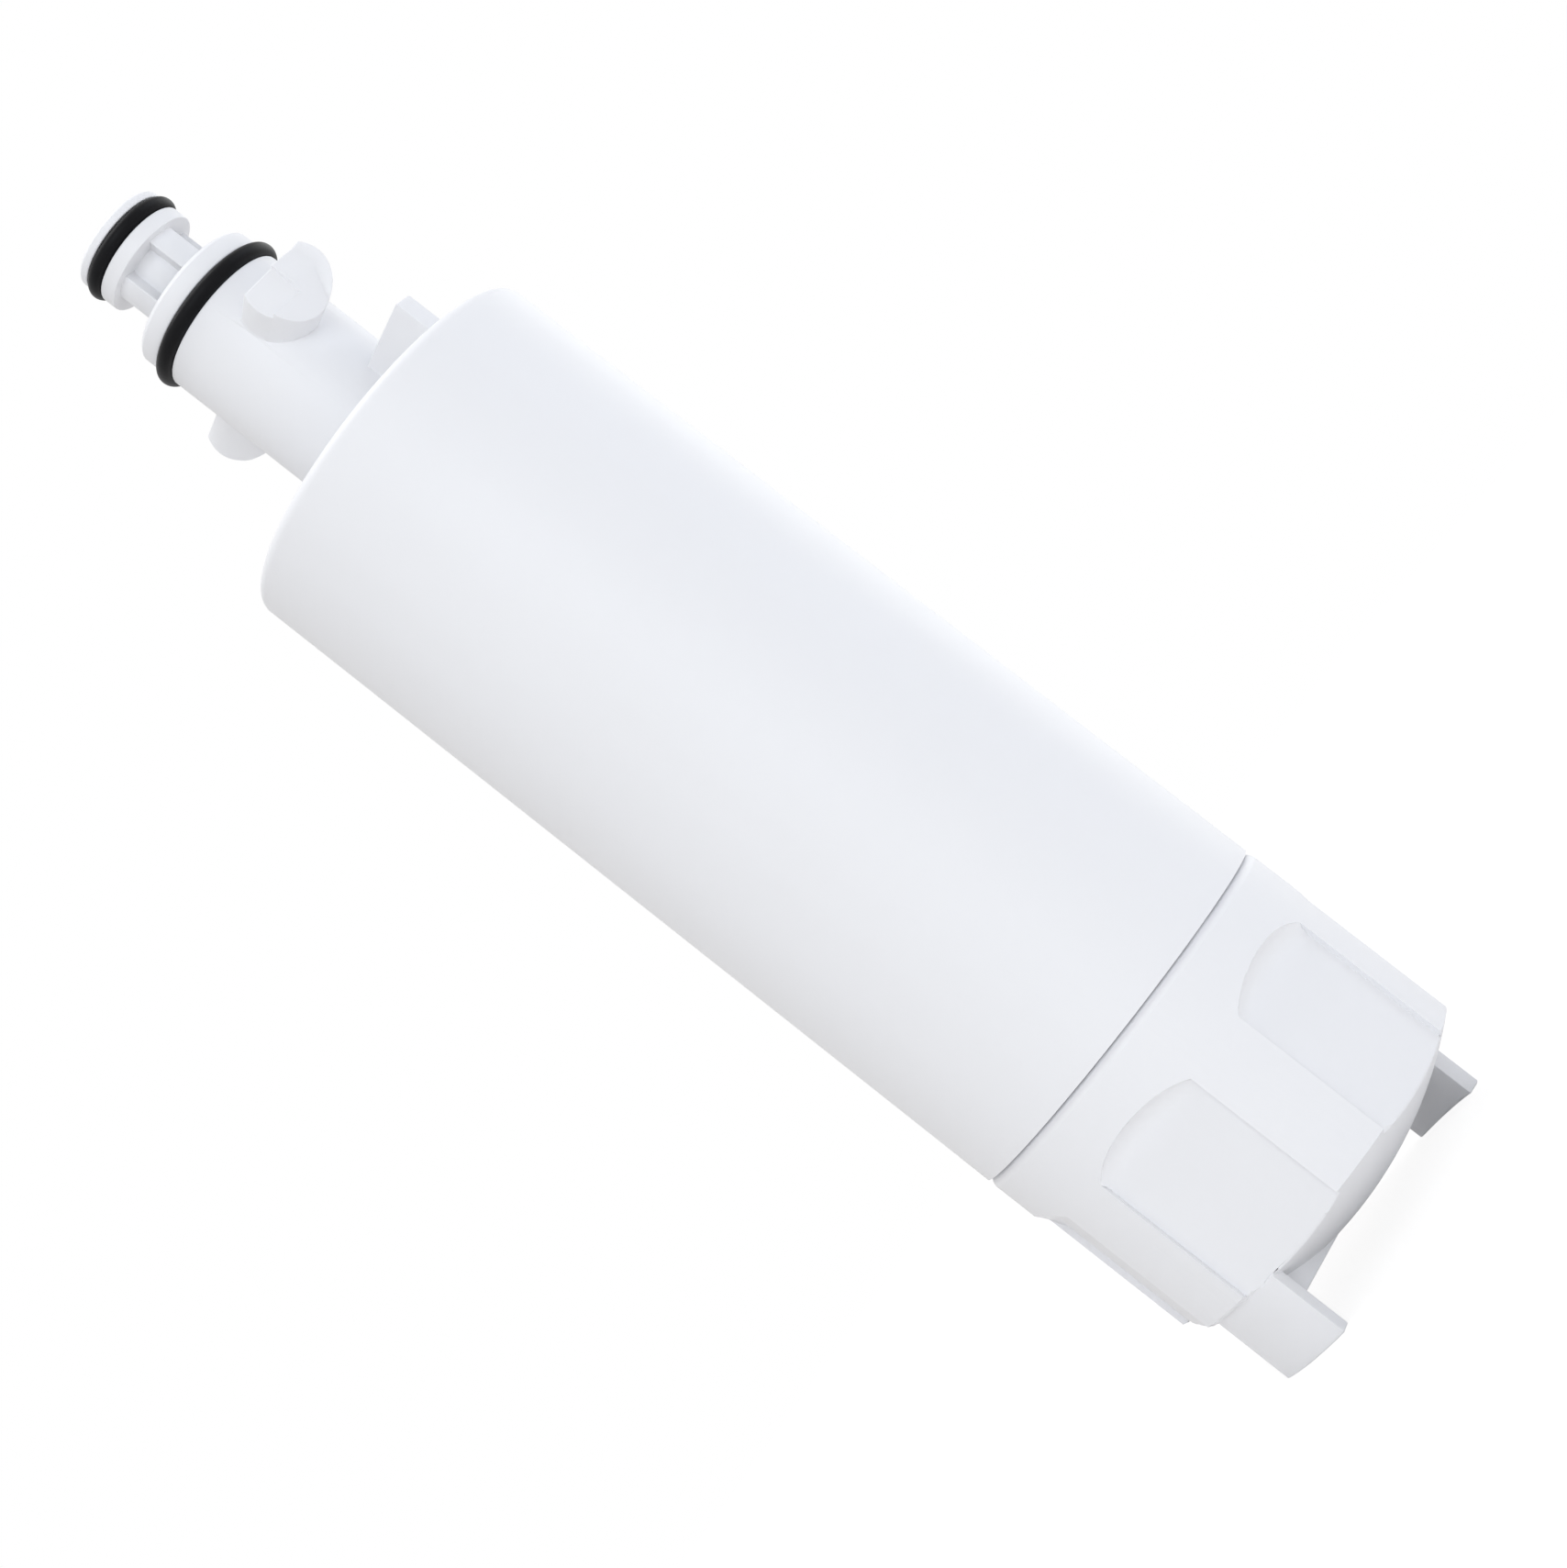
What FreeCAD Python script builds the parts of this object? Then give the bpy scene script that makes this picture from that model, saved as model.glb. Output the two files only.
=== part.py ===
import FreeCAD, Part
import math
import os
import Sketcher

# Fridge water filter cartridge: a welded plastic shell with a bayonet neck, and the carbon element inside
# Millimetres and degrees. The axis is +Z: the spigot points up and the cartridge stands on its two tabs.
# +X runs through one of the two bayonet lugs, and every turn is measured about +Z from there.

doc = FreeCAD.newDocument("filter_cartridge")
sheet = doc.addObject("Spreadsheet::Sheet", "Sizes")

# Shell
body_radius = 30.0
body_draft = 0.4
body_wall = 2.6
body_length = 134.8
shoulder_wall = 3.2
shoulder_round = 2.0

# Neck and tip
neck_radius = 11.7
neck_length = 37.2
neck_root_round = 1.5
passage_radius = 8.2
front_wall = 2.6
front_land = 3.6
front_bevel = 0.7
rib_radius = 7.0
rib_length = 7.5
flange_width = 2.5
tip_radius = 8.5
tip_land = 1.7
tip_bevel = 0.5
core_radius = 4.8
outlet_radius = 3.4

# Inlet windows between the ribs
window_count = 4
window_angle = 52.0
window_turn = 48.0
window_step = 0.4

# Rings and their grooves
large_ring_section = 2.6
large_ring_proud = 1.17
small_ring_section = 2.5
small_ring_proud = 0.65
element_ring_section = 1.8
ring_side_gap = 0.05
ring_seat_gap = 0.05

# Bayonet lugs: flared posts, flat towards the tip, whose outer end is a stepped cam
lug_count = 2
lug_rise = 22.7
lug_radius = 6.0
lug_flat = 2.5
lug_flare = 4.0
lug_reach = 19.1
cam_floor = 17.3
cam_step = 0.6
cam_slope_side = 4.7
cam_ramp_angle = 11.0
cam_cap_side = 2.4
cam_bevel_angle = 20.0
cam_back_angle = 41.0

# Stop ribs on the shoulder
stop_count = 2
stop_turn = 13.0
stop_reach = 24.0
stop_width = 3.4
stop_height = 7.3

# End cap
cap_length = 35.4
cap_wall = 1.9
dome_rise = 7.9
dome_wall = 3.0
seam_gap = 0.12
seam_bevel = 0.9
skirt_length = 9.0
skirt_fit = 0.15

# Grip recesses of the end cap
recess_count = 6
recess_turn = 4.0
recess_width = 20.3
recess_depth = 2.7
recess_setback = 8.2
recess_arch = 30.5
recess_cove = 3.6

# Tabs under the end cap and the web that joins them
tab_count = 2
tab_turn = 98.4
tab_angle = 30.5
tab_inset = 1.6
tab_thickness = 2.5
tab_clear = 5.3
web_width = 8.0
web_sink = 1.0

# Filter element
post_radius = 6.0
post_rise = 8.5
post_fit = 0.2
hub_wall = 2.6
hub_depth = 6.0
disc_thickness = 3.0
lip_height = 5.0
lip_wall = 1.2
lip_fit = 0.2
lip_clear = 1.1
wrap_thickness = 1.2
wrap_fit = 0.1
block_bore = 6.0
tower_height = 12.0
tower_wall = 2.2
socket_fit = 0.15
gland_setback = 2.5
tube_end_gap = 0.5
head_gap = 3.8


# A value together with the expression that keeps it bound to the sheet.
class Size:
    def __init__(self, value, text):
        self.value = value
        self.text = text

    def __add__(self, other):
        other = as_size(other)
        return Size(self.value + other.value, f"({self.text} + {other.text})")

    def __sub__(self, other):
        other = as_size(other)
        return Size(self.value - other.value, f"({self.text} - {other.text})")

    def __mul__(self, other):
        other = as_size(other)
        return Size(self.value * other.value, f"({self.text} * {other.text})")

    def __truediv__(self, other):
        other = as_size(other)
        return Size(self.value / other.value, f"({self.text} / {other.text})")

    def __neg__(self):
        return Size(-self.value, f"(0 - {self.text})")


def as_size(item):
    if isinstance(item, Size):
        return item
    return Size(float(item), repr(float(item)))


def root(size):
    return Size(math.sqrt(size.value), f"sqrt({size.text})")


def sine(angle):
    return Size(math.sin(math.radians(angle.value)), f"sin({angle.text} * 1 deg)")


def cosine(angle):
    return Size(math.cos(math.radians(angle.value)), f"cos({angle.text} * 1 deg)")


def tangent(angle):
    return Size(math.tan(math.radians(angle.value)), f"tan({angle.text} * 1 deg)")


# Each size above gets a named cell of the sheet and from here on carries the name of that cell.
size_values = {name: value for name, value in list(globals().items()) if isinstance(value, (int, float))}
for row, (name, value) in enumerate(size_values.items(), 1):
    sheet.set(f"A{row}", name)
    sheet.set(f"B{row}", str(value))
    sheet.setAlias(f"B{row}", name)
    globals()[name] = Size(float(value), f"Sizes.{name}")

zero = as_size(0)

# Heights above the surface that the tabs stand on
apex_height = tab_clear
rim_height = apex_height + dome_rise
seam_height = rim_height + cap_length
shoulder_height = seam_height + body_length
ceiling_height = shoulder_height - shoulder_wall
lug_height = shoulder_height + lug_rise
front_height = shoulder_height + neck_length
passage_top = front_height - front_wall
flange_height = front_height + rib_length

# Ring grooves: each ring sits a seat gap off the groove floor and stands proud of its land
large_ring_radius = neck_radius + large_ring_proud - large_ring_section / 2
large_groove_floor = large_ring_radius - large_ring_section / 2 - ring_seat_gap
large_groove_top = front_height - front_land
large_groove_low = large_groove_top - large_ring_section - ring_side_gap * 2
large_ring_height = (large_groove_top + large_groove_low) / 2
small_ring_radius = tip_radius + small_ring_proud - small_ring_section / 2
small_groove_floor = small_ring_radius - small_ring_section / 2 - ring_seat_gap
small_groove_low = flange_height + flange_width
small_groove_top = small_groove_low + small_ring_section + ring_side_gap * 2
small_ring_height = (small_groove_top + small_groove_low) / 2
tip_height = small_groove_top + tip_land

# Radii of the shell, from the seam to the shoulder
shoulder_radius = body_radius - body_draft
bore_radius = body_radius - body_wall
bore_top_radius = shoulder_radius - body_wall
skirt_radius = bore_radius - skirt_fit
recess_floor = body_radius - recess_depth
cap_bore = recess_floor - cap_wall
tab_outer = body_radius - tab_inset
tab_inner = tab_outer - tab_thickness

# The dome is a sphere through the rim, and its inside is concentric with it
dome_radius = (body_radius * body_radius + dome_rise * dome_rise) / (dome_rise * 2)
dome_centre = apex_height + dome_radius
dome_inner = dome_radius - dome_wall


def dome_inside(radius):
    return dome_centre - root(dome_inner * dome_inner - radius * radius)


def dome_outside(radius):
    return dome_centre - root(dome_radius * dome_radius - radius * radius)


# Heights and radii of the element, from the post of the end cap up to the ceiling of the housing
post_top = rim_height + post_rise
block_low = post_top + disc_thickness
tower_top = ceiling_height - head_gap
socket_floor = tower_top - tower_height
block_top = socket_floor - disc_thickness
tube_end = socket_floor + tube_end_gap
lip_outer = cap_bore - lip_clear
lip_inner = lip_outer - lip_wall
wrap_outer = lip_inner - lip_fit
wrap_inner = wrap_outer - wrap_thickness
block_radius = wrap_inner - wrap_fit
post_socket = post_radius + post_fit
hub_radius = post_socket + hub_wall
socket_radius = core_radius + socket_fit
element_ring_radius = core_radius + ring_seat_gap + element_ring_section / 2
gland_radius = element_ring_radius + element_ring_section / 2 + ring_seat_gap
gland_top = tower_top - gland_setback
gland_low = gland_top - element_ring_section - ring_side_gap * 2
element_ring_height = (gland_top + gland_low) / 2
tower_radius = gland_radius + tower_wall


# A sketch on one of its body's own planes: moved along the plane's normal, turned about the upright, raised
def new_sketch(body, name, plane, lift=None, turn=None, rise=None):
    sketch = body.newObject("Sketcher::SketchObject", name)
    support = [item for item in body.Origin.OriginFeatures if item.Role == plane][0]
    sketch.AttachmentSupport = [(support, "")]
    sketch.MapMode = "FlatFace"
    turn_axis = FreeCAD.Vector(0, 1, 0)
    if plane == "XY_Plane":
        turn_axis = FreeCAD.Vector(0, 0, 1)
    if turn is not None:
        rotation = FreeCAD.Rotation(turn_axis, turn.value)
        sketch.AttachmentOffset = FreeCAD.Placement(FreeCAD.Vector(), rotation)
        sketch.setExpression("AttachmentOffset.Rotation.Angle", turn.text)
    if lift is not None:
        sketch.setExpression("AttachmentOffset.Base.z", lift.text)
    if rise is not None:
        sketch.setExpression("AttachmentOffset.Base.y", rise.text)
    return sketch


def bind(sketch, index, size):
    sketch.setExpression(f"Constraints[{index}]", size.text)


# Fixes one point of a sketch at a place worked out from the sheet.
def pin_point(sketch, place, x, y):
    for kind, size, axis in (("DistanceX", x, -2), ("DistanceY", y, -1)):
        if size is zero:
            sketch.addConstraint(Sketcher.Constraint("PointOnObject", *place, axis))
        else:
            index = sketch.addConstraint(Sketcher.Constraint(kind, -1, 1, *place, size.value))
            bind(sketch, index, size)


# The arc from one corner to the next. Its centre lies to the left of the way for side 1, to the right for -1.
def arc_between(start, end, radius, side):
    chord = end - start
    middle = start + chord * 0.5
    left = FreeCAD.Vector(-chord.y, chord.x, 0).normalize()
    rise = math.sqrt(radius * radius - chord.Length * chord.Length / 4)
    centre = middle + left * (side * rise)
    first, last = (start, end) if side > 0 else (end, start)
    first_angle = math.atan2(first.y - centre.y, first.x - centre.x)
    last_angle = math.atan2(last.y - centre.y, last.x - centre.x)
    if last_angle < first_angle:
        last_angle += 2 * math.pi
    circle = Part.Circle(centre, FreeCAD.Vector(0, 0, 1), radius)
    return Part.ArcOfCircle(circle, first_angle, last_angle)


# A closed outline through its corners. arcs names the corners that an arc leaves, with its radius and side.
def draw_outline(sketch, corners, arcs=None):
    arcs = arcs or {}
    points = [FreeCAD.Vector(x.value, y.value, 0) for x, y in corners]
    starts = []
    ends = []
    for number, point in enumerate(points):
        following = points[(number + 1) % len(points)]
        if number in arcs:
            radius, side = arcs[number]
            edge = sketch.addGeometry(arc_between(point, following, radius.value, side))
            index = sketch.addConstraint(Sketcher.Constraint("Radius", edge, radius.value))
            bind(sketch, index, radius)
        else:
            side = 1
            edge = sketch.addGeometry(Part.LineSegment(point, following))
        starts.append((edge, 1 if side > 0 else 2))
        ends.append((edge, 2 if side > 0 else 1))
    for number, (x, y) in enumerate(corners):
        sketch.addConstraint(Sketcher.Constraint("Coincident", *ends[number - 1], *starts[number]))
        pin_point(sketch, starts[number], x, y)


def draw_circle(sketch, x, y, radius):
    centre = FreeCAD.Vector(x.value, y.value, 0)
    edge = sketch.addGeometry(Part.Circle(centre, FreeCAD.Vector(0, 0, 1), radius.value))
    pin_point(sketch, (edge, 3), x, y)
    index = sketch.addConstraint(Sketcher.Constraint("Radius", edge, radius.value))
    bind(sketch, index, radius)


# A ring sector about the axis, spread evenly to both sides of the sketch's own X axis.
def draw_sector(sketch, inner, outer, angle):
    half = angle / 2
    along = cosine(half)
    across = sine(half)
    corners = [
        (inner * along, -(inner * across)),
        (outer * along, -(outer * across)),
        (outer * along, outer * across),
        (inner * along, inner * across),
    ]
    draw_outline(sketch, corners, {1: (outer, 1), 3: (inner, -1)})


# Every feature must add material or take it away, as its kind says.
def check_change(feature, before, adds):
    doc.recompute()
    change = feature.Shape.Volume - before
    if (change > 1e-3) != adds or abs(change) < 1e-3:
        raise RuntimeError(f"{feature.Name} changes the volume by {change:.3f}")


def volume_so_far(body):
    if body.Tip is None:
        return 0.0
    return body.Tip.Shape.Volume


def spin(body, kind, name, sketch, axis="V_Axis"):
    before = volume_so_far(body)
    feature = body.newObject(f"PartDesign::{kind}", name)
    feature.Profile = sketch
    feature.ReferenceAxis = (sketch, [axis])
    feature.Angle = 360
    check_change(feature, before, kind == "Revolution")
    return feature


def extrude(body, kind, name, sketch, length, side="One side", reverse=False, taper=None, direction=None):
    before = volume_so_far(body)
    feature = body.newObject(f"PartDesign::{kind}", name)
    feature.Profile = sketch
    feature.SideType = side
    feature.Reversed = reverse
    feature.setExpression("Length", length.text)
    if taper is not None:
        feature.setExpression("TaperAngle", taper.text)
    if direction is not None:
        feature.UseCustomVector = True
        feature.Direction = direction
    check_change(feature, before, kind == "Pad")
    return feature


def repeat_about_axis(body, name, features, count, adds):
    before = volume_so_far(body)
    pattern = body.newObject("PartDesign::PolarPattern", name)
    pattern.Originals = features
    pattern.Axis = ([item for item in body.Origin.OriginFeatures if item.Role == "Z_Axis"][0], [""])
    pattern.Angle = 360
    pattern.setExpression("Occurrences", count.text)
    body.Tip = pattern
    check_change(pattern, before, adds)


def new_body(name):
    body = doc.addObject("PartDesign::Body", name)
    body.Label = name
    return body


# Housing: tube, shoulder, neck, spigot and outlet tube in one moulding
housing = new_body("housing")
shell_sketch = new_sketch(housing, "shell_sketch", "XZ_Plane")
shell_corners = [
    (body_radius, seam_height),
    (shoulder_radius, shoulder_height - shoulder_round),
    (shoulder_radius - shoulder_round, shoulder_height),
    (neck_radius + neck_root_round, shoulder_height),
    (neck_radius, shoulder_height + neck_root_round),
    (neck_radius, large_groove_low),
    (large_groove_floor, large_groove_low),
    (large_groove_floor, large_groove_top),
    (neck_radius, large_groove_top),
    (neck_radius, front_height - front_bevel),
    (neck_radius - front_bevel, front_height),
    (rib_radius, front_height),
    (rib_radius, flange_height),
    (tip_radius, flange_height),
    (tip_radius, small_groove_low),
    (small_groove_floor, small_groove_low),
    (small_groove_floor, small_groove_top),
    (tip_radius, small_groove_top),
    (tip_radius, tip_height - tip_bevel),
    (tip_radius - tip_bevel, tip_height),
    (outlet_radius, tip_height),
    (outlet_radius, tube_end),
    (core_radius, tube_end),
    (core_radius, passage_top),
    (passage_radius, passage_top),
    (passage_radius, ceiling_height),
    (bore_top_radius, ceiling_height),
    (bore_radius, seam_height),
]
draw_outline(shell_sketch, shell_corners, {1: (shoulder_round, 1), 3: (neck_root_round, -1)})
spin(housing, "Revolution", "shell", shell_sketch)

# Inlet windows: cut between the ribs and on through the front wall into the passage round the outlet tube
window_low = passage_top - window_step
window_sketch = new_sketch(housing, "window_sketch", "XY_Plane", window_low, window_turn)
draw_sector(window_sketch, core_radius, rib_radius + window_step, window_angle)
window = extrude(housing, "Pocket", "window", window_sketch, flange_height - window_low, reverse=True)
repeat_about_axis(housing, "windows", [window], window_count, False)

# Bayonet lug: a flared post rooted in the neck wall, wide enough below to leave no edge outside the neck
lug_root = root(neck_radius * neck_radius - lug_radius * lug_radius) - neck_root_round / 3
lug_end_radius = lug_radius + (lug_reach - lug_root) * tangent(lug_flare)
lug_half = root(lug_radius * lug_radius - lug_flat * lug_flat)
cam_run = lug_end_radius + cam_step
cam_reach = lug_reach + cam_step
lug_sketch = new_sketch(housing, "lug_sketch", "YZ_Plane", lug_root)
lug_corners = [
    (-lug_half, lug_height + lug_flat),
    (zero, lug_height - lug_radius),
    (lug_half, lug_height + lug_flat),
]
draw_outline(lug_sketch, lug_corners, {0: (lug_radius, 1), 1: (lug_radius, 1)})
lug_post = extrude(housing, "Pad", "lug_post", lug_sketch, cam_reach - lug_root, taper=lug_flare)

# Cam of the lug, seen along the axis: a floor, a step on the middle of the post, a shelf and a slope that
# comes to the full reach at the edge of the post
cam_shelf = cam_floor + cam_step
slope_gain = (lug_reach - cam_shelf) / (lug_end_radius - cam_slope_side)
cam_sketch = new_sketch(housing, "cam_sketch", "XY_Plane", lug_height)
cam_corners = [
    (cam_floor, -cam_run),
    (cam_reach + cam_step, -cam_run),
    (cam_reach + cam_step, cam_run),
    (cam_shelf + (cam_run - cam_slope_side) * slope_gain, cam_run),
    (cam_shelf, cam_slope_side),
    (cam_shelf, zero),
    (cam_floor, zero),
]
draw_outline(cam_sketch, cam_corners)
cam_cut = extrude(housing, "Pocket", "cam_cut", cam_sketch, cam_run * 2, side="Symmetric")

# Ramp that leads up the floor to the step, on the side of the tip
ramp_sketch = new_sketch(housing, "ramp_sketch", "XY_Plane", lug_height - cam_cap_side)
ramp_corners = [
    (cam_floor, zero),
    (cam_floor - cam_run * tangent(cam_ramp_angle), -cam_run),
    (cam_reach, -cam_run),
    (cam_reach, zero),
]
draw_outline(ramp_sketch, ramp_corners)
ramp_cut = extrude(housing, "Pocket", "ramp_cut", ramp_sketch, cam_cap_side + cam_run, reverse=True)

# The side towards the cap is bevelled as far as a sloping back, which runs on below the slope of the cam
bevel_sketch = new_sketch(
    housing,
    "bevel_sketch",
    "XZ_Plane",
    cam_shelf / tangent(cam_back_angle) - cam_slope_side,
    as_size(90) - cam_back_angle,
)
bevel_end = cam_reach / sine(cam_back_angle)
bevel_low = cam_floor - (cam_run - cam_cap_side) * tangent(cam_bevel_angle)
bevel_corners = [
    (bevel_low / sine(cam_back_angle), lug_height - cam_run),
    (bevel_end, lug_height - cam_run),
    (bevel_end, lug_height - cam_cap_side + (cam_reach - cam_floor) / tangent(cam_bevel_angle)),
]
draw_outline(bevel_sketch, bevel_corners)
across = FreeCAD.Vector(0, -1, 0)
bevel_cut = extrude(housing, "Pocket", "bevel_cut", bevel_sketch, cam_run * 3, direction=across)
repeat_about_axis(housing, "lugs", [lug_post, cam_cut, ramp_cut, bevel_cut], lug_count, True)

# Stop ribs: radial webs that stand on the shoulder beside the neck
stop_sketch = new_sketch(housing, "stop_sketch", "XZ_Plane", None, stop_turn)
stop_root = neck_radius - neck_root_round
stop_corners = [
    (stop_root, shoulder_height - shoulder_wall / 2),
    (stop_reach, shoulder_height - shoulder_wall / 2),
    (stop_reach, shoulder_height + stop_height),
    (stop_root, shoulder_height + stop_height),
]
draw_outline(stop_sketch, stop_corners)
stop_rib = extrude(housing, "Pad", "stop_rib", stop_sketch, stop_width, side="Symmetric")
repeat_about_axis(housing, "stop_ribs", [stop_rib], stop_count, True)

# End cap: the solid outside first, with its skirt inside the housing
end_cap = new_body("end_cap")
seam_low = seam_height - seam_gap
skirt_top = seam_height + skirt_length
cap_sketch = new_sketch(end_cap, "cap_sketch", "XZ_Plane")
cap_corners = [
    (zero, apex_height),
    (body_radius, rim_height),
    (body_radius, seam_low - seam_bevel),
    (body_radius - seam_bevel, seam_low),
    (skirt_radius, seam_low),
    (skirt_radius, skirt_top),
    (zero, skirt_top),
]
draw_outline(cap_sketch, cap_corners, {0: (dome_radius, 1)})
spin(end_cap, "Revolution", "cap_outside", cap_sketch)

# Cutter of the grip recesses: flat floors that run out at the rim, with a cove along an arc at the upper end
recess_top = seam_height - recess_setback
recess_outer = body_radius + recess_depth
cove_left = recess_cove - recess_depth
cove_start = recess_arch - root(recess_cove * recess_cove - cove_left * cove_left)
cove_end = cove_start + recess_cove
arch_end = recess_arch + recess_width
recess_tool = new_body("recess_tool")
slab_sketch = new_sketch(recess_tool, "slab_sketch", "XZ_Plane", None, recess_turn)
slab_corners = [
    (recess_floor, zero),
    (recess_outer, zero),
    (recess_outer, recess_top + recess_depth),
    (recess_floor, recess_top + recess_depth),
]
draw_outline(slab_sketch, slab_corners)
recess_slab = extrude(recess_tool, "Pad", "recess_slab", slab_sketch, recess_width, side="Symmetric")

# The end of the slab is turned about the radial line through the middle of the arc
arch_sketch = new_sketch(recess_tool, "arch_sketch", "XZ_Plane", None, recess_turn, recess_top - recess_arch)
arch_corners = [
    (recess_floor - recess_depth, cove_start),
    (recess_floor, cove_start),
    (recess_floor + recess_cove, cove_end),
    (recess_outer + recess_cove, cove_end),
    (recess_outer + recess_cove, arch_end),
    (recess_floor - recess_depth, arch_end),
]
draw_outline(arch_sketch, arch_corners, {1: (recess_cove, -1)})
recess_end = spin(recess_tool, "Groove", "recess_end", arch_sketch, "H_Axis")
repeat_about_axis(recess_tool, "recess_copies", [recess_slab, recess_end], recess_count, True)
before_recesses = volume_so_far(end_cap)
recesses = end_cap.newObject("PartDesign::Boolean", "recesses")
recesses.Type = "Cut"
recesses.addObject(recess_tool)
check_change(recesses, before_recesses, False)

# Tabs, up into the dome, and the flat web between them
tab_top = dome_outside(tab_outer)
tab_sketch = new_sketch(end_cap, "tab_sketch", "XY_Plane", None, tab_turn)
draw_sector(tab_sketch, tab_inner, tab_outer, tab_angle)
tab = extrude(end_cap, "Pad", "tab", tab_sketch, tab_top)
repeat_about_axis(end_cap, "tabs", [tab], tab_count, True)
web_low = apex_height + web_sink
web_end = tab_inner + tab_thickness / 4
web_sketch = new_sketch(end_cap, "web_sketch", "XZ_Plane", None, tab_turn)
web_corners = [
    (-web_end, web_low),
    (web_end, web_low),
    (web_end, dome_outside(tab_inner)),
    (-web_end, dome_outside(tab_inner)),
]
draw_outline(web_sketch, web_corners)
extrude(end_cap, "Pad", "web", web_sketch, web_width, side="Symmetric")

# Hollow of the end cap, round the post that carries the element
hollow_sketch = new_sketch(end_cap, "hollow_sketch", "XZ_Plane")
hollow_corners = [
    (zero, post_top),
    (post_radius, post_top),
    (post_radius, dome_inside(post_radius)),
    (cap_bore, dome_inside(cap_bore)),
    (cap_bore, skirt_top),
    (zero, skirt_top),
]
draw_outline(hollow_sketch, hollow_corners, {2: (dome_inner, 1)})
spin(end_cap, "Groove", "hollow", hollow_sketch)


# Rubber ring
def new_ring(name, radius, section, height):
    ring = doc.addObject("Part::Torus", name)
    ring.Label = name
    ring.setExpression("Radius1", radius.text)
    ring.setExpression("Radius2", (section / 2).text)
    ring.setExpression("Placement.Base.z", height.text)
    return ring


large_o_ring = new_ring("large_o_ring", large_ring_radius, large_ring_section, large_ring_height)
small_o_ring = new_ring("small_o_ring", small_ring_radius, small_ring_section, small_ring_height)
element_o_ring = new_ring("element_o_ring", element_ring_radius, element_ring_section, element_ring_height)


# Sleeve between the two caps of the element
def new_sleeve(name, outer, inner):
    parts = []
    for suffix, radius in (("outside", outer), ("inside", inner)):
        cylinder = doc.addObject("Part::Cylinder", f"{name}_{suffix}")
        cylinder.setExpression("Radius", radius.text)
        cylinder.setExpression("Height", (block_top - block_low).text)
        cylinder.setExpression("Placement.Base.z", block_low.text)
        parts.append(cylinder)
    sleeve = doc.addObject("Part::Cut", name)
    sleeve.Label = name
    sleeve.Base = parts[0]
    sleeve.Tool = parts[1]
    return sleeve


carbon_block = new_sleeve("carbon_block", block_radius, block_bore)
prefilter_wrap = new_sleeve("prefilter_wrap", wrap_outer, wrap_inner)

# Lower cap of the element: closed, with a lip round the block and a hub over the post
lower_element_cap = new_body("lower_element_cap")
lower_sketch = new_sketch(lower_element_cap, "lower_sketch", "XZ_Plane")
lower_corners = [
    (zero, post_top),
    (post_socket, post_top),
    (post_socket, post_top - hub_depth),
    (hub_radius, post_top - hub_depth),
    (hub_radius, post_top),
    (lip_outer, post_top),
    (lip_outer, block_low + lip_height),
    (lip_inner, block_low + lip_height),
    (lip_inner, block_low),
    (zero, block_low),
]
draw_outline(lower_sketch, lower_corners)
spin(lower_element_cap, "Revolution", "lower_cap", lower_sketch)

# Upper cap of the element: a tower with the socket and ring gland for the outlet tube
upper_element_cap = new_body("upper_element_cap")
upper_sketch = new_sketch(upper_element_cap, "upper_sketch", "XZ_Plane")
upper_corners = [
    (outlet_radius, block_top),
    (lip_inner, block_top),
    (lip_inner, block_top - lip_height),
    (lip_outer, block_top - lip_height),
    (lip_outer, socket_floor),
    (tower_radius, socket_floor),
    (tower_radius, tower_top),
    (socket_radius, tower_top),
    (socket_radius, gland_top),
    (gland_radius, gland_top),
    (gland_radius, gland_low),
    (socket_radius, gland_low),
    (socket_radius, socket_floor),
    (outlet_radius, socket_floor),
]
draw_outline(upper_sketch, upper_corners)
spin(upper_element_cap, "Revolution", "upper_cap", upper_sketch)

doc.recompute()

for item in doc.Objects:
    if "Invalid" in item.State or "Error" in item.State:
        raise RuntimeError(f"{item.Name} failed: {item.State}")

nodes = [
    housing,
    end_cap,
    large_o_ring,
    small_o_ring,
    carbon_block,
    prefilter_wrap,
    upper_element_cap,
    lower_element_cap,
    element_o_ring,
]
for node in nodes:
    if node.Shape.isNull() or not node.Shape.isValid():
        raise RuntimeError(f"{node.Label} has no valid shape")

os.makedirs("parts", exist_ok=True)
for node in nodes:
    node.Shape.exportStep(f"parts/{node.Label}.step")
    box = node.Shape.BoundBox
    print(node.Label, len(node.Shape.Solids), round(box.ZMin, 2), round(box.ZMax, 2))
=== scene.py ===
import math

import bmesh
import bpy
from mathutils import Matrix, Vector


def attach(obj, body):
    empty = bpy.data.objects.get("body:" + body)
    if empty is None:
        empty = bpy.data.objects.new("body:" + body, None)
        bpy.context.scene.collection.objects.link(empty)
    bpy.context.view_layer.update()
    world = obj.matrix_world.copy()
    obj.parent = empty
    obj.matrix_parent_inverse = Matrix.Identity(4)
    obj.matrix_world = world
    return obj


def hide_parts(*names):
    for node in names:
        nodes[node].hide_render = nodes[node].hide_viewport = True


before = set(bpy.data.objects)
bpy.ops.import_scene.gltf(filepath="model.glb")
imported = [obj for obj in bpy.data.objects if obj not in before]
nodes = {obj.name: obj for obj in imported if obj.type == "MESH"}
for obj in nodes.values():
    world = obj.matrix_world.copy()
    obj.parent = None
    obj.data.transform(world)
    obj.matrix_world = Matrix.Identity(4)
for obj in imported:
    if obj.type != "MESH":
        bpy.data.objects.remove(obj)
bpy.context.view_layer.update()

bpy.ops.object.select_all(action="DESELECT")
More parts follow.
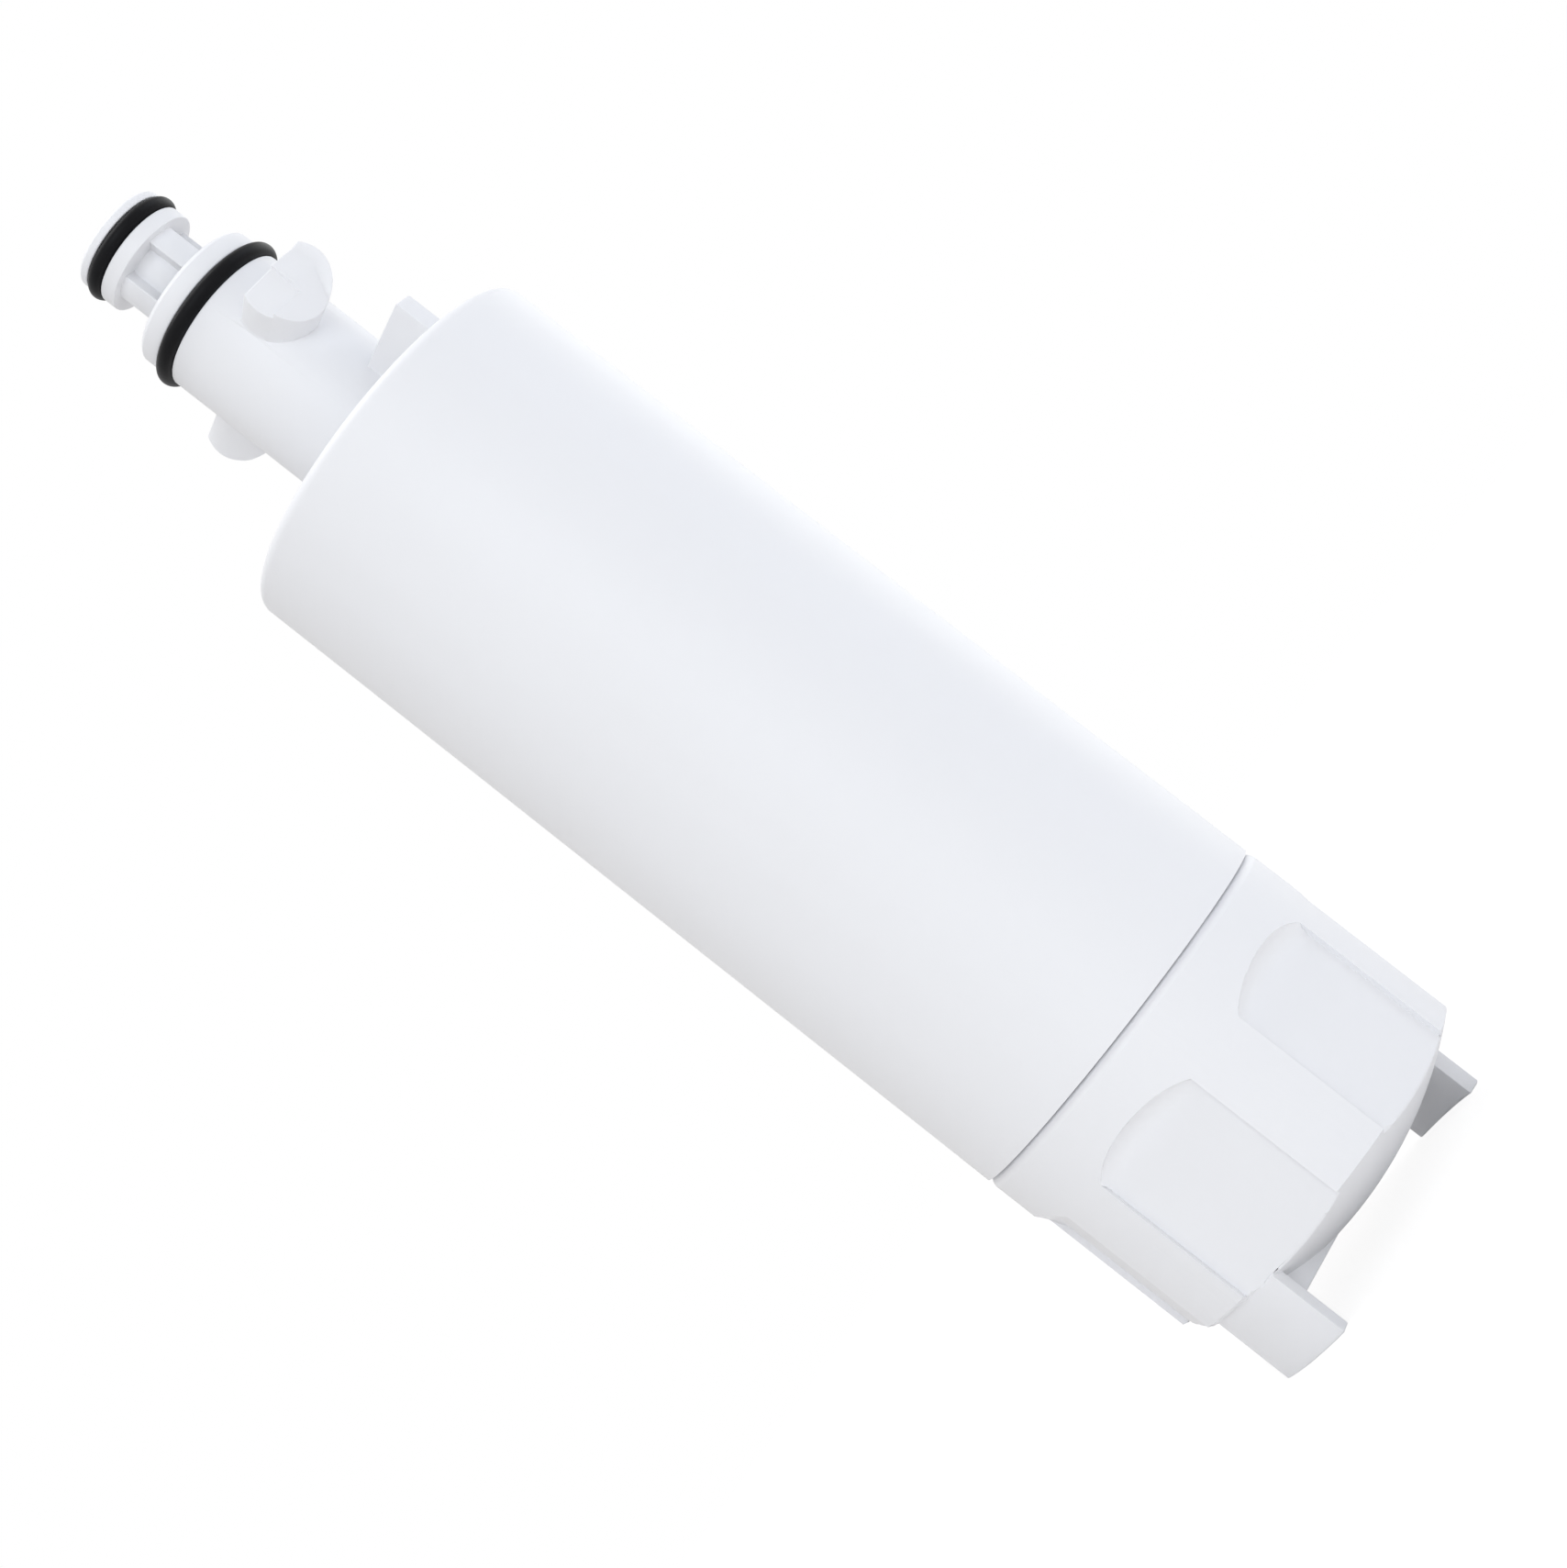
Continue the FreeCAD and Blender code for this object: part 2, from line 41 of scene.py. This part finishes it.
print("frame loaded:", len(nodes), "nodes")


def addNode(tree, kind, **values):
    node = tree.nodes.new(kind)
    for name, value in values.items():
        if name in node.inputs:
            node.inputs[name].default_value = value
        else:
            setattr(node, name, value)
    return node


def linkNodes(tree, source, output, target, socket):
    tree.links.new(source.outputs[output], target.inputs[socket])


# camera: long lens, turned on its side so that the cartridge lies across the frame
cameraSettings = {
    "place": (0.35170, -0.24627, 0.07638),
    "right": (0.30291, 0.53794, -0.78668),
    "up": (0.48327, 0.62476, 0.61329),
    "sensor": 36,
    "lens": 68.14,
    "nearest": 0.01,
}


def placeCamera(settings):
    right = Vector(settings["right"]).normalized()
    up = Vector(settings["up"])
    back = right.cross(up).normalized()
    up = back.cross(right)
    data = bpy.data.cameras.new("productCamera")
    data.sensor_fit = "HORIZONTAL"
    data.sensor_width = settings["sensor"]
    data.lens = settings["lens"]
    data.clip_start = settings["nearest"]
    camera = bpy.data.objects.new("productCamera", data)
    bpy.context.scene.collection.objects.link(camera)
    turn = Matrix((right, up, back)).transposed().to_4x4()
    camera.matrix_world = Matrix.Translation(settings["place"]) @ turn
    bpy.context.scene.camera = camera


placeCamera(cameraSettings)
print("camera placed")


# studio: soft boxes aimed at the middle of the body, an even pale room and a pale floor
studioSettings = {
    "aim": (0.0, 0.0, 0.13),
    "boxSize": 0.8,
    "room": (0.42, 0.41, 0.405, 1),
    "white": (1, 1, 1, 1),
    "floorSize": 1.6,
    "floorColour": (0.95, 0.94, 0.93, 1),
    "floorGlow": 0.80,  # share of the glow where the floor is seen directly
    "glowPower": 1.10,
}
softBoxes = {
    "frontBox": {"turn": -35, "reach": 1.1, "height": 0.45, "power": 4.7, "colour": (0.87, 0.93, 1.0)},
    "sideBox": {"turn": -80, "reach": 1.1, "height": 0.65, "power": 1.2, "colour": (1.0, 1.0, 0.97)},
    "upperBox": {"turn": 55, "reach": 1.1, "height": 0.35, "power": 2.4, "colour": (0.76, 0.85, 1.0)},
    "rimBox": {"turn": 100, "reach": 1.1, "height": 0.20, "power": 3.0, "colour": (0.97, 1.0, 1.0)},
    "topBox": {"turn": 0, "reach": 0.0, "height": 1.3, "power": 7.6, "colour": (0.99, 0.99, 1.0)},
}


def hangSoftBox(name, box, settings):
    data = bpy.data.lights.new(name, "AREA")
    data.shape = "RECTANGLE"
    data.size = data.size_y = settings["boxSize"]
    data.energy = box["power"]
    data.color = box["colour"]
    lamp = bpy.data.objects.new(name, data)
    bpy.context.scene.collection.objects.link(lamp)
    turn = math.radians(box["turn"])
    lamp.location = (box["reach"] * math.cos(turn), box["reach"] * math.sin(turn), box["height"])
    lamp.rotation_euler = (Vector(settings["aim"]) - lamp.location).to_track_quat("-Z", "Y").to_euler()


# the room is white where it is seen or mirrored, and dimmer as a light
def paintRoom(settings):
    world = bpy.data.worlds.new("paleRoom")
    bpy.context.scene.world = world
    world.use_nodes = True
    tree = world.node_tree
    tree.nodes.clear()
    path = addNode(tree, "ShaderNodeLightPath")
    seen = addNode(tree, "ShaderNodeMath", operation="MAXIMUM")
    through = addNode(tree, "ShaderNodeMath", operation="MAXIMUM")
    light = addNode(tree, "ShaderNodeBackground", Color=settings["room"])
    white = addNode(tree, "ShaderNodeBackground", Color=settings["white"])
    mix = addNode(tree, "ShaderNodeMixShader")
    out = addNode(tree, "ShaderNodeOutputWorld")
    linkNodes(tree, path, "Is Camera Ray", seen, 0)
    linkNodes(tree, path, "Is Transmission Ray", seen, 1)
    linkNodes(tree, seen, 0, through, 0)
    linkNodes(tree, path, "Is Glossy Ray", through, 1)
    linkNodes(tree, through, 0, mix, 0)
    linkNodes(tree, light, 0, mix, 1)
    linkNodes(tree, white, 0, mix, 2)
    linkNodes(tree, mix, 0, out, 0)


def layFloor(settings):
    bpy.ops.mesh.primitive_plane_add(size=settings["floorSize"], location=(0, 0, 0))
    floor = bpy.context.object
    floor.name = "paleFloor"
    material = bpy.data.materials.new("paleFloor")
    material.use_nodes = True
    tree = material.node_tree
    tree.nodes.clear()
    path = addNode(tree, "ShaderNodeLightPath")
    share = addNode(tree, "ShaderNodeMath", operation="MULTIPLY")
    share.inputs[1].default_value = settings["floorGlow"]
    paint = addNode(tree, "ShaderNodeBsdfDiffuse", Color=settings["floorColour"])
    glow = addNode(tree, "ShaderNodeEmission", Color=settings["white"], Strength=settings["glowPower"])
    mix = addNode(tree, "ShaderNodeMixShader")
    out = addNode(tree, "ShaderNodeOutputMaterial")
    linkNodes(tree, path, "Is Camera Ray", share, 0)
    linkNodes(tree, share, 0, mix, 0)
    linkNodes(tree, paint, 0, mix, 1)
    linkNodes(tree, glow, 0, mix, 2)
    linkNodes(tree, mix, 0, out, 0)
    floor.data.materials.append(material)
    floor.select_set(False)


for name, box in softBoxes.items():
    hangSoftBox(name, box, studioSettings)
paintRoom(studioSettings)
layFloor(studioSettings)
bpy.context.scene.view_settings.view_transform = "Standard"
print("studio lit")


# shared effect: the slow drift of tone and the fine grain of a moulded or pressed surface
mouldGrainSettings = {
    "inputs": {
        "Light": "NodeSocketColor", "Dark": "NodeSocketColor",
        "Drift Scale": "NodeSocketFloat", "Grain Scale": "NodeSocketFloat",
        "Smooth": "NodeSocketFloat", "Rough": "NodeSocketFloat",
    },
    "outputs": {"Colour": "NodeSocketColor", "Roughness": "NodeSocketFloat", "Height": "NodeSocketFloat"},
    "drift": {"Detail": 3.0, "Roughness": 0.5},
    "grain": {"Detail": 2.0, "Roughness": 0.6},
    "firstColour": 6, "secondColour": 7, "mixedColour": 2,  # colour sockets of the mix node, by number
}


def buildMouldGrain(settings):
    group = bpy.data.node_groups.new("mouldGrain", "ShaderNodeTree")
    for side, sockets in (("INPUT", settings["inputs"]), ("OUTPUT", settings["outputs"])):
        for name, kind in sockets.items():
            group.interface.new_socket(name=name, in_out=side, socket_type=kind)
    start = addNode(group, "NodeGroupInput")
    end = addNode(group, "NodeGroupOutput")
    place = addNode(group, "ShaderNodeTexCoord")
    drift = addNode(group, "ShaderNodeTexNoise", **settings["drift"])
    grain = addNode(group, "ShaderNodeTexNoise", **settings["grain"])
    tone = addNode(group, "ShaderNodeMix", data_type="RGBA")
    polish = addNode(group, "ShaderNodeMapRange")
    linkNodes(group, place, "Object", drift, "Vector")
    linkNodes(group, place, "Object", grain, "Vector")
    linkNodes(group, start, "Drift Scale", drift, "Scale")
    linkNodes(group, start, "Grain Scale", grain, "Scale")
    linkNodes(group, drift, 0, tone, 0)
    linkNodes(group, start, "Light", tone, settings["firstColour"])
    linkNodes(group, start, "Dark", tone, settings["secondColour"])
    linkNodes(group, drift, 0, polish, "Value")
    linkNodes(group, start, "Smooth", polish, "To Min")
    linkNodes(group, start, "Rough", polish, "To Max")
    linkNodes(group, tone, settings["mixedColour"], end, "Colour")
    linkNodes(group, polish, 0, end, "Roughness")
    linkNodes(group, grain, 0, end, "Height")
    return group


mouldGrain = buildMouldGrain(mouldGrainSettings)


def newFinish(name):
    material = bpy.data.materials.new(name)
    material.use_nodes = True
    tree = material.node_tree
    tree.nodes.clear()
    shader = addNode(tree, "ShaderNodeBsdfPrincipled")
    out = addNode(tree, "ShaderNodeOutputMaterial")
    linkNodes(tree, shader, "BSDF", out, "Surface")
    return material, tree, shader


# one grained finish: tone, polish and grain from the group
def grainedFinish(name, look):
    material, tree, shader = newFinish(name)
    grain = addNode(tree, "ShaderNodeGroup", node_tree=mouldGrain)
    for socket in mouldGrainSettings["inputs"]:
        grain.inputs[socket].default_value = look[socket]
    bump = addNode(tree, "ShaderNodeBump", Strength=look["bump"], Distance=look["depth"])
    linkNodes(tree, grain, "Colour", shader, "Base Color")
    linkNodes(tree, grain, "Roughness", shader, "Roughness")
    linkNodes(tree, grain, "Height", bump, "Height")
    linkNodes(tree, bump, "Normal", shader, "Normal")
    shader.inputs["Specular IOR Level"].default_value = look["gloss"]
    return material


whitePlasticLook = {
    "Light": (0.83, 0.835, 0.855, 1), "Dark": (0.81, 0.815, 0.835, 1),
    "Drift Scale": 28.0, "Grain Scale": 1800.0, "Smooth": 0.42, "Rough": 0.52,
    "bump": 0.05, "depth": 0.0002, "gloss": 0.35,
}
blackRubberLook = {
    "Light": (0.010, 0.010, 0.011, 1), "Dark": (0.005, 0.005, 0.006, 1),
    "Drift Scale": 180.0, "Grain Scale": 2600.0, "Smooth": 0.30, "Rough": 0.46,
    "bump": 0.10, "depth": 0.0002, "gloss": 0.07,
}
capPlasticLook = {
    "Light": (0.78, 0.78, 0.77, 1), "Dark": (0.73, 0.73, 0.72, 1),
    "Drift Scale": 40.0, "Grain Scale": 1500.0, "Smooth": 0.45, "Rough": 0.6,
    "bump": 0.08, "depth": 0.0002, "gloss": 0.4,
}
carbonLook = {
    "Light": (0.035, 0.034, 0.033, 1), "Dark": (0.012, 0.012, 0.012, 1),
    "Drift Scale": 900.0, "Grain Scale": 1400.0, "Smooth": 0.75, "Rough": 0.95,
    "bump": 0.6, "depth": 0.0006, "gloss": 0.2,
}
feltLook = {
    "Light": (0.80, 0.79, 0.76, 1), "Dark": (0.66, 0.65, 0.62, 1),
    "Drift Scale": 420.0, "Grain Scale": 1100.0, "Smooth": 0.85, "Rough": 0.98,
    "bump": 0.7, "depth": 0.0005, "gloss": 0.1,
}
finishes = {
    "housing": grainedFinish("whitePlastic", whitePlasticLook),
    "large_o_ring": grainedFinish("blackRubber", blackRubberLook),
    "carbon_block": grainedFinish("pressedCarbon", carbonLook),
    "prefilter_wrap": grainedFinish("whiteFelt", feltLook),
    "upper_element_cap": grainedFinish("capPlastic", capPlasticLook),
}
finishes["end_cap"] = finishes["housing"]
finishes["small_o_ring"] = finishes["large_o_ring"]
finishes["element_o_ring"] = finishes["large_o_ring"]
finishes["lower_element_cap"] = finishes["upper_element_cap"]
for name, finish in finishes.items():
    nodes[name].data.materials.clear()
    nodes[name].data.materials.append(finish)
print("finishes set")


# outer corners between two heights, where both faces have room for the round
def pickOuterEdges(piece, sharp, place):
    mesh = bmesh.from_edit_mesh(piece.data)
    for edge in mesh.edges:
        room = place["size"] * edge.calc_length()
        fits = all(face.calc_area() > room for face in edge.link_faces)
        inside = all(
            place["low"] < corner.co.z < place["high"] and corner.co.xy.length > place["inner"]
            for corner in edge.verts
        )
        edge.select_set(inside and fits and edge.is_convex and edge.calc_face_angle() > sharp)
    bmesh.update_edit_mesh(piece.data)


# the ledge behind the lip comes closer to the body's end, so that the seam stays a thin line
def liftLedge(piece, ledge):
    bpy.ops.mesh.select_mode(type="VERT")
    mesh = bmesh.from_edit_mesh(piece.data)
    for corner in mesh.verts:
        level = abs(corner.co.z - ledge["height"]) < ledge["slack"]
        corner.select_set(level and corner.co.xy.length < ledge["reach"])
    bmesh.update_edit_mesh(piece.data)
    bpy.ops.transform.translate(value=(0, 0, ledge["lift"]))
    bpy.ops.mesh.select_all(action="DESELECT")
    bpy.ops.mesh.select_mode(type="EDGE")


# the small edge rounds of the mould, on a merged copy that stands for its solid
def roundMoulding(name, settings):
    piece = bpy.data.objects.new(name, nodes[settings["node"]].data.copy())
    bpy.context.scene.collection.objects.link(piece)
    bpy.ops.object.select_all(action="DESELECT")
    piece.select_set(True)
    bpy.context.view_layer.objects.active = piece
    bpy.ops.object.mode_set(mode="EDIT")
    bpy.ops.mesh.select_mode(type="EDGE")
    bpy.ops.mesh.select_all(action="SELECT")
    bpy.ops.mesh.remove_doubles(threshold=settings["merge"])
    bpy.ops.mesh.dissolve_limited(angle_limit=math.radians(settings["flat"]))
    bpy.ops.mesh.select_all(action="DESELECT")
    if "ledge" in settings:
        liftLedge(piece, settings["ledge"])
    for place in settings["rounds"]:
        bpy.ops.mesh.select_all(action="DESELECT")
        pickOuterEdges(piece, math.radians(settings["sharp"]), place)
        bpy.ops.mesh.bevel(offset=place["size"], segments=place["steps"], clamp_overlap=False)
    bpy.ops.object.mode_set(mode="OBJECT")
    bpy.ops.object.shade_smooth_by_angle(angle=math.radians(settings["smooth"]))
    bpy.ops.object.modifier_add(type="WEIGHTED_NORMAL")
    piece.modifiers[-1].keep_sharp = True
    bpy.ops.object.modifier_apply(modifier=piece.modifiers[-1].name)
    piece.select_set(False)
    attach(piece, "root")
    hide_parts(settings["node"])
    print(name, "rounded:", len(piece.data.polygons), "faces")


roundedHousingSettings = {
    "node": "housing", "merge": 0.000001,
    "flat": 0.02, "sharp": 25.0, "smooth": 20.0,  # degrees
    "rounds": [{"low": 0.060, "high": 0.240, "inner": 0.0, "size": 0.0002, "steps": 2}],
}
roundMoulding("roundedHousing", roundedHousingSettings)

roundedCapSettings = {
    "node": "end_cap", "merge": 0.000001,
    "flat": 0.02, "sharp": 25.0, "smooth": 14.0,  # degrees
    "ledge": {"height": 0.04848, "slack": 0.00002, "reach": 0.0292, "lift": 0.00009},
    "rounds": [
        {"low": 0.0475, "high": 0.0486, "inner": 0.0295, "size": 0.0006, "steps": 4},  # lip at the seam
        {"low": -0.001, "high": 0.0128, "inner": 0.0, "size": 0.0003, "steps": 2},  # tabs and web
    ],
}
roundMoulding("roundedCap", roundedCapSettings)
